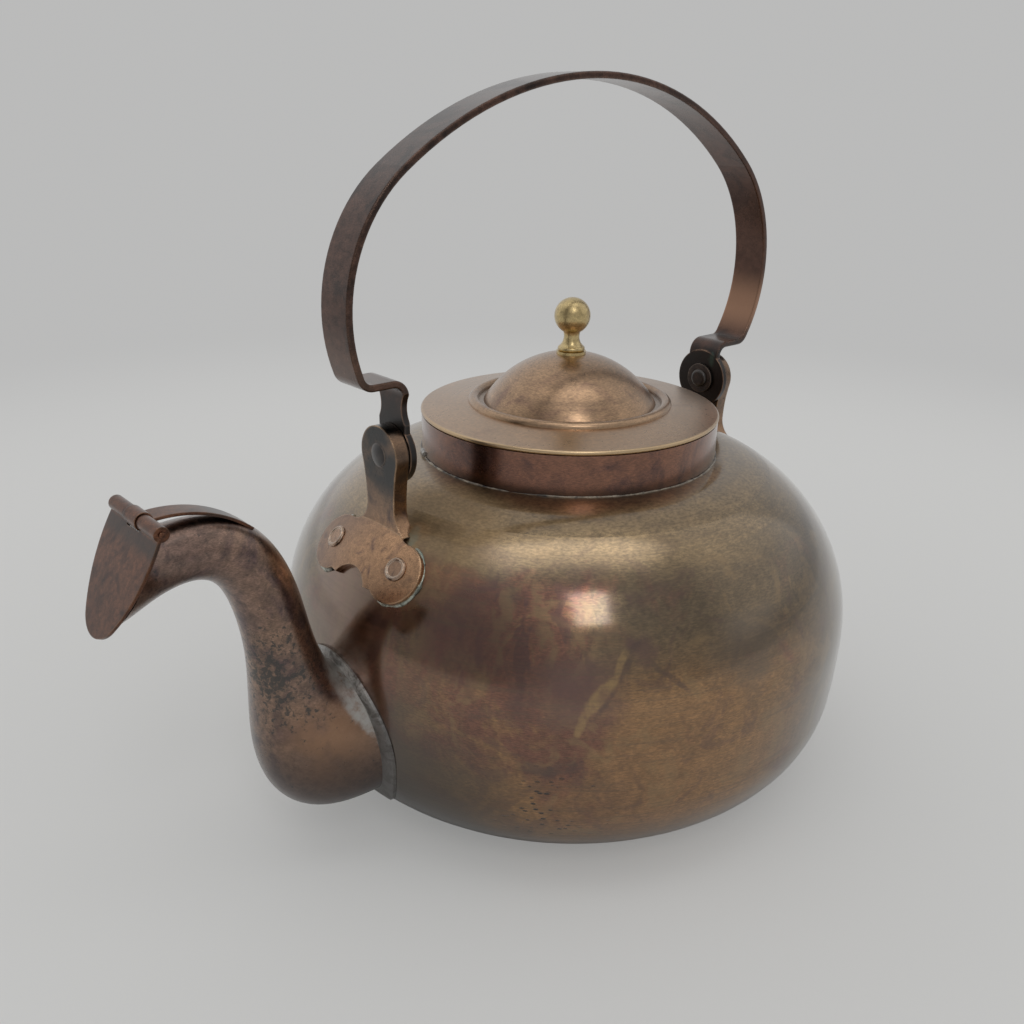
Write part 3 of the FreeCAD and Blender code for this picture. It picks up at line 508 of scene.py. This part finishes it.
saddle_solder = make_soft_solder("saddle_solder", bright=(0.46, 0.455, 0.44), dull=(0.28, 0.27, 0.26),
                                 dirt=(0.085, 0.074, 0.066), darker_below=SADDLE_DARKER_BELOW)
dress(make_spout_copper(), "spout")
dress(saddle_solder, "spout_flange")

# Ears
# Forged copper lugs, thick at the eye and thin at the two-lobed foot, each held by two flat rivets.
# Handling keeps their faces orange; soot sits round the eye, and a pale green crust lies along the lobes.
EAR_OUTER = 0.0916
EAR_BEND_HEIGHT = 0.11667
EAR_BEND = math.radians(38)
LOBE_DROP, LOBE_SPREAD, LOBE_RADIUS = 0.01267, 0.0182, 0.0108
EAR_CLEAN, EAR_SKIN, EAR_STAIN = (0.43, 0.246, 0.134), (0.300, 0.174, 0.101), (0.160, 0.092, 0.066)
EAR_PAINTED_SHADE, EAR_SOOT, EAR_EDGE_WEAR_AND_HIGHLIGHT = (0.190, 0.122, 0.094), (0.022, 0.021, 0.020), (0.62, 0.41, 0.25)
RIVET_CLEAN, RIVET_SKIN, RIVET_STAIN = (0.38, 0.225, 0.135), (0.25, 0.150, 0.095), (0.10, 0.062, 0.048)
RIVET_EDGE_HIGHLIGHT = (0.84, 0.73, 0.60)


def make_edge_wear_and_highlight():
    """Where a piece has an edge: a mask for rubbed metal and painted edge highlight, and the normal of the
    rounded edge.
    """
    group, given, result = new_group(
        "edge_wear_and_highlight", [("Radius", "Float", 0.0008)], [("Mask", "Float"), ("Normal", "Vector")])
    rounded = put(group, "ShaderNodeBevel", {"Radius": given["Radius"]}, samples=6).outputs[0]
    normal = put(group, "ShaderNodeNewGeometry").outputs["Normal"]
    mask = ramp(group, vector_math(group, "DOT_PRODUCT", rounded, normal, output="Value"), 0.998, 0.92)
    group.links.new(mask, result["Mask"])
    group.links.new(rounded, result["Normal"])
    return group


edge_wear_and_highlight = make_edge_wear_and_highlight()


def wear_and_highlight_edges(tree, place, colour, rubbed, radius, share):
    """The colour with its edges turned to the given one, as wear and on some parts as painted highlight, and
    the rounded normal.
    """
    made = put(tree, "ShaderNodeGroup", {"Radius": radius}, node_tree=edge_wear_and_highlight).outputs
    broken = ramp(tree, noise(tree, place, 140.0, 4.0), 0.30, 0.62, 0.25, 1.0)
    wear_and_highlight = times(tree, times(tree, made["Mask"], broken), share)
    return tint(tree, wear_and_highlight, colour, rubbed), made["Normal"]


def make_ear_copper():
    material, tree, shader, place = start_metal("ear_copper", film=1.36, film_gloss=0.3)
    colour, roughness, height = aged(
        tree, place, EAR_CLEAN, EAR_SKIN, EAR_STAIN,
        scale=32.0, skin_share=0.45, stain_share=0.40, gloss=0.27, mottle=0.45)
    xyz = put(tree, "ShaderNodeSeparateXYZ", {0: place}).outputs
    # painted shade on the +Y side of each ear, away from the window
    colour = tint(tree, ramp(tree, xyz["Y"], 0.002, 0.022, 0.0, 0.55), colour, EAR_PAINTED_SHADE)
    # soot on the faces of the stem and the eye, while their sides stay rubbed
    sooty = ramp(tree, noise(tree, place, 80.0, 5.0, 0.6), 0.28, 0.60, 0.60, 1.0)
    normal = put(tree, "ShaderNodeNewGeometry").outputs["Normal"]
    sideways = reckon(tree, "ABSOLUTE", put(tree, "ShaderNodeSeparateXYZ", {0: normal}).outputs["Y"])
    soot = times(tree, ramp(tree, xyz["Z"], 0.114, 0.135), sooty)
    soot = times(tree, soot, ramp(tree, sideways, 0.45, 0.75, 1.0, 0.72))
    colour = tint(tree, soot, colour, EAR_SOOT)
    # the ear's edges are rubbed copper, brightened further as a painted highlight
    colour, normal = wear_and_highlight_edges(tree, place, colour, EAR_EDGE_WEAR_AND_HIGHLIGHT, radius=0.0010, share=0.78)
    close_metal(tree, shader, colour, roughness, height, depth=0.0005, normal=normal)
    return material


dress(make_ear_copper(), "front_ear", "rear_ear")


def make_rivet_copper():
    material, tree, shader, place = start_metal("rivet_copper", film=1.5)
    colour, roughness, height = aged(
        tree, place, RIVET_CLEAN, RIVET_SKIN, RIVET_STAIN,
        scale=60.0, skin_share=0.5, stain_share=0.40, gloss=0.28)
    # the pale rim of each head is rubbed metal painted up to a highlight
    colour, normal = wear_and_highlight_edges(tree, place, colour, RIVET_EDGE_HIGHLIGHT, radius=0.0006, share=1.0)
    close_metal(tree, shader, colour, roughness, height, normal=normal)
    return material


dress(make_rivet_copper(), "front_ear_rivets", "rear_ear_rivets", "front_rivet_roves", "rear_rivet_roves")

lobe_crust = make_soft_solder("lobe_crust", bright=(0.62, 0.60, 0.50), dull=(0.27, 0.33, 0.28),
                              dirt=(0.08, 0.085, 0.066))
# the crust's run round each lobe, in degrees
CRUST_FROM, CRUST_TO = 85, -118
CRUST_STEPS = 60
SETTLING_STEPS = 12


def lobe_edge(side, to_rear):
    """Points along the edge of a lobe, where its wall meets the shoulder."""
    outward = Vector((-math.cos(EAR_BEND), 0, math.sin(EAR_BEND)))
    points = []
    for number in range(CRUST_STEPS + 1):
        angle = math.radians(CRUST_FROM + (CRUST_TO - CRUST_FROM) * number / CRUST_STEPS)
        y = side * (LOBE_SPREAD + LOBE_RADIUS * math.cos(angle))
        drop = LOBE_DROP - LOBE_RADIUS * math.sin(angle)
        x = -EAR_OUTER - drop * math.sin(EAR_BEND)
        point = Vector((x, y, EAR_BEND_HEIGHT - drop * math.cos(EAR_BEND)))
        for _ in range(SETTLING_STEPS):
            reach = math.hypot(math.hypot(point.x, point.y) - SHOULDER_CENTRE, point.z - WIDEST_HEIGHT)
            point -= outward * (reach - SHOULDER_CURVE)
        points.append((-point.x, -point.y, point.z) if to_rear else tuple(point))
    return points


for ear, to_rear in (("front", False), ("rear", True)):
    for side, hand in ((-1, "right"), (1, "left")):
        lay_bead(f"{ear}_ear_crust_{hand}", lobe_edge(side, to_rear), False, lobe_crust,
                 Thickness=0.00058, Unevenness=1.0, Wander=0.0007, Step=0.0006)

# Handle and pivots
# One strap of copper bent to an arch, stepped in over the ears and flattened to round eyes on rivet pins.
# The grip is dark brown, rubbed orange towards the rear end and blackened at the eyes.
GRIP_CLEAN, GRIP_SKIN, GRIP_STAIN = (0.098, 0.050, 0.035), (0.055, 0.030, 0.023), (0.030, 0.019, 0.016)
GRIP_REAR, GRIP_RUBBED, GRIP_EDGE = (0.120, 0.064, 0.048), (0.42, 0.235, 0.150), (0.45, 0.275, 0.180)
PIVOT_CLEAN, PIVOT_SKIN, PIVOT_STAIN = (0.20, 0.135, 0.100), (0.09, 0.066, 0.056), (0.05, 0.042, 0.038)
PIVOT_EDGE = (0.34, 0.27, 0.22)
BLACK_SCALE, GREEN_SCALE = (0.034, 0.030, 0.029), (0.075, 0.135, 0.110)


def blacken(tree, place, colour, roughness, share):
    """Black scale with a little green in it."""
    green = ramp(tree, noise(tree, place, 110.0, 4.0, 0.6), 0.60, 0.72, 0.0, 0.55)
    scale = tint(tree, green, BLACK_SCALE, GREEN_SCALE)
    return tint(tree, share, colour, scale), add_share(tree, share, 0.16, roughness)


def make_handle_copper():
    material, tree, shader, place = start_metal("handle_copper", film=1.28, film_gloss=0.28)
    xyz = put(tree, "ShaderNodeSeparateXYZ", {0: place}).outputs
    colour, roughness, height = aged(
        tree, place, GRIP_CLEAN, GRIP_SKIN, GRIP_STAIN,
        scale=19.0, skin_share=0.48, stain_share=0.42, gloss=0.22, mottle=0.9)
    rear = ramp(tree, xyz["X"], -0.02, 0.10)
    colour = tint(tree, times(tree, rear, 0.45), colour, GRIP_REAR)
    low = times(tree, ramp(tree, xyz["Z"], 0.158, 0.172), ramp(tree, xyz["Z"], 0.190, 0.175))
    low = times(tree, low, add_share(tree, rear, 0.80, 0.12))
    colour = tint(tree, low, colour, GRIP_RUBBED)
    blotch = add_share(tree, noise(tree, place, 90.0, 5.0), 0.02, xyz["Z"])
    eyes = ramp(tree, blotch, ramp(tree, xyz["X"], -0.05, 0.05, 0.180, 0.172), 0.163)
    colour, roughness = blacken(tree, place, colour, roughness, eyes)
    colour, normal = wear_and_highlight_edges(tree, place, colour, GRIP_EDGE, radius=0.0008, share=0.75)
    close_metal(tree, shader, colour, roughness, height, normal=normal)
    return material


dress(make_handle_copper(), "handle_strap")


def make_blackened_pivots():
    material, tree, shader, place = start_metal("blackened_pivots", film=1.5, film_gloss=0.3)
    colour, roughness, height = aged(
        tree, place, PIVOT_CLEAN, PIVOT_SKIN, PIVOT_STAIN,
        scale=70.0, skin_share=0.6, stain_share=0.5, gloss=0.34)
    black = ramp(tree, noise(tree, place, 150.0), 0.3, 0.7, 0.3, 0.9)
    colour, roughness = blacken(tree, place, colour, roughness, black)
    colour, normal = wear_and_highlight_edges(tree, place, colour, PIVOT_EDGE, radius=0.0006, share=0.6)
    close_metal(tree, shader, colour, roughness, height, normal=normal)
    return material


dress(make_blackened_pivots(), "front_pivot_rivet", "rear_pivot_rivet",
      "front_pivot_washer", "rear_pivot_washer")

# Lid
# A raised plate with a rolled rim, a bead and a dome, soldered to the ring that drops into the neck.
# Its rim is worn to yellow metal and painted with a bright highlight at the front, and a turned brass knob is
# peened through the dome.
LID_RADIUS = 0.0591
LID_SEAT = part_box("lid_top")[0][2]
BEAD_OUTSIDE, PLATE_START = 0.038, 0.041
VALLEY_RISE, VALLEY_FALL = (0.0335, 0.0345), (0.0372, 0.0358)
RIM_HIGHLIGHT_TOWARDS = -128
LID_CLEAN, LID_SKIN, LID_STAIN = (0.425, 0.262, 0.146), (0.328, 0.203, 0.115), (0.235, 0.132, 0.085)
TURNING_MARK, RIM_YELLOW_HIGHLIGHT, PLATE_PALE = (0.155, 0.096, 0.060), (0.66, 0.49, 0.27), (0.540, 0.355, 0.210)
VALLEY_DIRT, RING_BROWN, RING_UNDER_PLATE_BLACK = (0.11, 0.080, 0.058), (0.185, 0.098, 0.060), (0.040, 0.028, 0.022)
BRASS_CLEAN, BRASS_SKIN, BRASS_STAIN = (0.63, 0.485, 0.23), (0.47, 0.345, 0.160), (0.27, 0.192, 0.090)


def make_lid_copper():
    material, tree, shader, place = start_metal("lid_copper", film=1.5, film_gloss=0.34)
    radius = radius_of(tree, place)
    colour, roughness, height = aged(
        tree, place, LID_CLEAN, LID_SKIN, LID_STAIN,
        scale=17.0, skin_share=0.46, stain_share=0.36, gloss=0.28, mottle=0.26)
    # turning marks round the lid
    turned = put(tree, "ShaderNodeCombineXYZ", {0: times(tree, radius, 900.0), 1: 0.0, 2: 0.0}).outputs[0]
    turned = vector_math(tree, "ADD", turned, vector_math(tree, "MULTIPLY", place, (18, 18, 18)))
    marks = ramp(tree, noise(tree, turned, 1.0, 3.0), 0.45, 0.72, 0.0, 0.30)
    colour = tint(tree, marks, colour, TURNING_MARK)
    # the rim is worn yellow all round and painted with a bright highlight at the front, the plate is paler
    # than the dome, and dirt lies inside the bead
    frayed = add_share(tree, noise(tree, place, 60.0, 4.0), 0.0014, radius)
    wear_and_highlight = ramp(tree, frayed, LID_RADIUS - 0.0006, LID_RADIUS + 0.0004)
    # the painted highlight is strongest on the front of the rim
    wear_and_highlight = times(tree, wear_and_highlight, ramp(tree, facing(tree, place, RIM_HIGHLIGHT_TOWARDS), -0.2, 0.75, 0.1, 1.0))
    colour = tint(tree, wear_and_highlight, colour, RIM_YELLOW_HIGHLIGHT)
    colour = tint(tree, ramp(tree, radius, BEAD_OUTSIDE, PLATE_START, 0.0, 0.42), colour, PLATE_PALE)
    valley = times(tree, ramp(tree, radius, *VALLEY_RISE), ramp(tree, radius, *VALLEY_FALL))
    colour = tint(tree, times(tree, valley, 0.5), colour, VALLEY_DIRT)
    # the ring in the neck is darker, and blacker still just under the plate
    z = height_of(tree, place)
    colour = tint(tree, ramp(tree, z, LID_SEAT, LID_SEAT - 0.0006, 0.0, 0.72), colour, RING_BROWN)
    ragged_height = add_share(tree, noise(tree, place, 70.0, 5.0, 0.6), 0.006, z)
    join_darkening = ramp(tree, ragged_height, LID_SEAT - 0.003, LID_SEAT + 0.002)
    join_darkening = times(tree, ramp(tree, z, LID_SEAT, LID_SEAT - 0.0004), join_darkening)
    colour = tint(tree, times(tree, join_darkening, 0.7), colour, RING_UNDER_PLATE_BLACK)
    close_metal(tree, shader, colour, roughness, height)
    return material


dress(make_lid_copper(), "lid_top", "lid_flange")


def make_knob_brass():
    material, tree, shader, place = start_metal("knob_brass", film=1.4, film_gloss=0.35)
    colour, roughness, height = aged(
        tree, place, BRASS_CLEAN, BRASS_SKIN, BRASS_STAIN,
        scale=55.0, skin_share=0.44, stain_share=0.34, gloss=0.30, mottle=0.4)
    close_metal(tree, shader, colour, roughness, height)
    return material


dress(make_knob_brass(), "lid_knob", "knob_washer", "knob_burr")

# Spout flap
# A leaf-shaped copper plate with two rolled knuckles, hung on a pin in the leaf soldered to the spout.
# Its skin is dark brown, with a shadow painted below the knuckles and edges rubbed to bare copper.
HINGE_HEIGHT = 0.1410
FLAP_CLEAN, FLAP_SKIN, FLAP_STAIN = (0.150, 0.063, 0.033), (0.102, 0.042, 0.024), (0.062, 0.027, 0.018)
FLAP_PAINTED_SHADOW, FLAP_EDGE = (0.040, 0.032, 0.028), (0.36, 0.235, 0.165)


def make_hinge_copper():
    material, tree, shader, place = start_metal("hinge_copper", film=1.24, film_gloss=0.34)
    colour, roughness, height = aged(
        tree, place, FLAP_CLEAN, FLAP_SKIN, FLAP_STAIN,
        scale=32.0, skin_share=0.5, stain_share=0.40, gloss=0.30, mottle=0.9)
    z = height_of(tree, place)
    # a painted shadow line below the knuckles
    below = times(tree, ramp(tree, z, HINGE_HEIGHT - 0.0090, HINGE_HEIGHT - 0.0045),
                  ramp(tree, z, HINGE_HEIGHT - 0.0016, HINGE_HEIGHT - 0.0028))
    colour = tint(tree, times(tree, below, 0.75), colour, FLAP_PAINTED_SHADOW)
    colour, normal = wear_and_highlight_edges(tree, place, colour, FLAP_EDGE, radius=0.0006, share=0.6)
    close_metal(tree, shader, colour, roughness, height, normal=normal)
    return material


dress(make_hinge_copper(), "spout_flap", "hinge_leaf", "hinge_pin")

# Floor
# A plain pale grey table top, far larger than the view.
# It keeps the kettle's soft shadow nearby and runs off into the grey of the backdrop further out.
FLOOR_REACH = 6.0
BACKDROP_GREY = (0.495, 0.495, 0.492)
TABLE_GREY, TABLE_GLOW = (0.72, 0.72, 0.71), (0.63, 0.63, 0.62)


def make_floor():
    corners = [(x * FLOOR_REACH, y * FLOOR_REACH, 0) for x, y in ((-1, -1), (1, -1), (1, 1), (-1, 1))]
    mesh = bpy.data.meshes.new("table_top")
    mesh.from_pydata(corners, [], [(0, 1, 2, 3)])
    floor = bpy.data.objects.new("table_top", mesh)
    bpy.context.scene.collection.objects.link(floor)
    material = bpy.data.materials.new("table_grey")
    material.use_nodes = True
    tree = material.node_tree
    shader = tree.nodes["Principled BSDF"]
    shader.inputs["Base Color"].default_value = (*TABLE_GREY, 1)
    shader.inputs["Roughness"].default_value = 0.75
    shader.inputs["Specular IOR Level"].default_value = 0.2
    place = put(tree, "ShaderNodeTexCoord").outputs["Object"]
    away = vector_math(tree, "LENGTH", place, output="Value")
    path = put(tree, "ShaderNodeLightPath").outputs
    seen = reckon(tree, "MAXIMUM", path["Is Camera Ray"], path["Is Glossy Ray"])
    nearby = times(tree, path["Is Camera Ray"], 0.38)
    plain = times(tree, ramp(tree, away, 0.12, 0.95, nearby, 1.0), seen)
    pale = tint(tree, ramp(tree, away, 0.9, 0.3), BACKDROP_GREY, TABLE_GLOW)
    glow = put(tree, "ShaderNodeEmission", {0: pale, 1: 1.0})
    mixed = put(tree, "ShaderNodeMixShader", {0: plain, 1: shader.outputs[0], 2: glow.outputs[0]})
    tree.links.new(mixed.outputs[0], tree.nodes["Material Output"].inputs["Surface"])
    mesh.materials.append(material)


make_floor()

# Light
# A soft white box: a bright panel in the ceiling with a sharp rear edge, a paler wall on the right,
# a dark opening in front of the spout, and a small window beside the camera.
REARWARD, RIGHTWARD, LEFTWARD = (0.59, 0.81, 0), (0.81, -0.59, 0), (-0.75, 0.66, 0)
OPENING = Vector((-0.95, 0.02, 0.24)).normalized()
ROOM_SIDE, ROOM_TOP = 0.54, 0.62
OPENING_SHARE = 0.46
WALL_LIGHT, PANEL_LIGHT = 0.25, 1.18
WINDOW_PLACE = Vector((-0.525, -0.885, 1.195))
WINDOW_AIM = Vector((0, 0, 0.10))
WINDOW_SIZE = (0.33, 0.52)
WINDOW_WATTS = 1.75


def make_world():
    world = bpy.data.worlds.new("soft_room")
    bpy.context.scene.world = world
    world.use_nodes = True
    tree = world.node_tree
    direction = put(tree, "ShaderNodeTexCoord").outputs["Generated"]

    def along(way):
        return vector_math(tree, "DOT_PRODUCT", direction, way, output="Value")

    xyz = put(tree, "ShaderNodeSeparateXYZ", {0: direction}).outputs
    z = reckon(tree, "MAXIMUM", xyz["Z"], 0.05)
    rearward = reckon(tree, "DIVIDE", along(REARWARD), z)
    rightward = reckon(tree, "DIVIDE", along(RIGHTWARD), z)
    panel = times(tree, ramp(tree, rearward, 0.085, 0.050), ramp(tree, rearward, -0.42, 0.02))
    panel = times(tree, panel, ramp(tree, reckon(tree, "ABSOLUTE", rightward), 0.62, 0.30))
    panel = times(tree, panel, ramp(tree, xyz["Z"], 0.3, 0.5))
    wall = times(tree, ramp(tree, xyz["Y"], -0.02, -0.07), ramp(tree, xyz["X"], 0.25, 0.60))
    wall = times(tree, wall, ramp(tree, xyz["Z"], 0.06, 0.32))
    room = ramp(tree, xyz["Z"], 0.25, 0.95, ROOM_SIDE, ROOM_TOP)
    room = times(tree, room, ramp(tree, along(LEFTWARD), -0.9, 0.9, 0.72, 1.22))
    room = times(tree, room, ramp(tree, along(OPENING), 0.58, 0.97, 1.0, OPENING_SHARE))
    room = add_share(tree, wall, WALL_LIGHT, room)
    level = add_share(tree, panel, PANEL_LIGHT, room)
    grey = put(tree, "ShaderNodeCombineColor", {0: level, 1: level, 2: level}).outputs[0]
    camera_ray = put(tree, "ShaderNodeLightPath").outputs["Is Camera Ray"]
    colour = tint(tree, camera_ray, grey, BACKDROP_GREY)
    tree.links.new(colour, tree.nodes["Background"].inputs["Color"])


make_world()

light = bpy.data.lights.new("window", "AREA")
light.shape = "RECTANGLE"
light.size, light.size_y = WINDOW_SIZE
light.energy = WINDOW_WATTS
window = bpy.data.objects.new("window", light)
bpy.context.scene.collection.objects.link(window)
back = (WINDOW_PLACE - WINDOW_AIM).normalized()
side = Vector((0, 0, 1)).cross(back).normalized()
turned = Matrix((side, back.cross(side), back)).transposed().to_4x4()
window.matrix_world = Matrix.Translation(WINDOW_PLACE) @ turned

# Camera
# It looks down at the kettle from the left front, as the photograph does.
# Its place, its axes and its focal length come from a fit to the round outlines of the belly, neck and lid.
CAMERA_PLACE = (-0.27415, -0.27423, 0.25316)
CAMERA_RIGHT = Vector((0.7503, -0.6609, 0.0150))
CAMERA_DOWN = Vector((-0.2358, -0.2888, -0.9279))
PHOTO_WIDTH = 1024
FOCAL_PIXELS = 1000
SENSOR_WIDTH = 36.0

camera_data = bpy.data.cameras.new("camera")
camera_data.sensor_width = SENSOR_WIDTH
camera_data.lens = SENSOR_WIDTH * FOCAL_PIXELS / PHOTO_WIDTH
camera = bpy.data.objects.new("camera", camera_data)
bpy.context.scene.collection.objects.link(camera)
camera_right = CAMERA_RIGHT.normalized()
camera_up = -(CAMERA_DOWN - CAMERA_DOWN.dot(camera_right) * camera_right).normalized()
axes = Matrix((camera_right, camera_up, camera_right.cross(camera_up))).transposed().to_4x4()
camera.matrix_world = Matrix.Translation(CAMERA_PLACE) @ axes
bpy.context.scene.camera = camera
bpy.context.scene.view_settings.view_transform = "Standard"
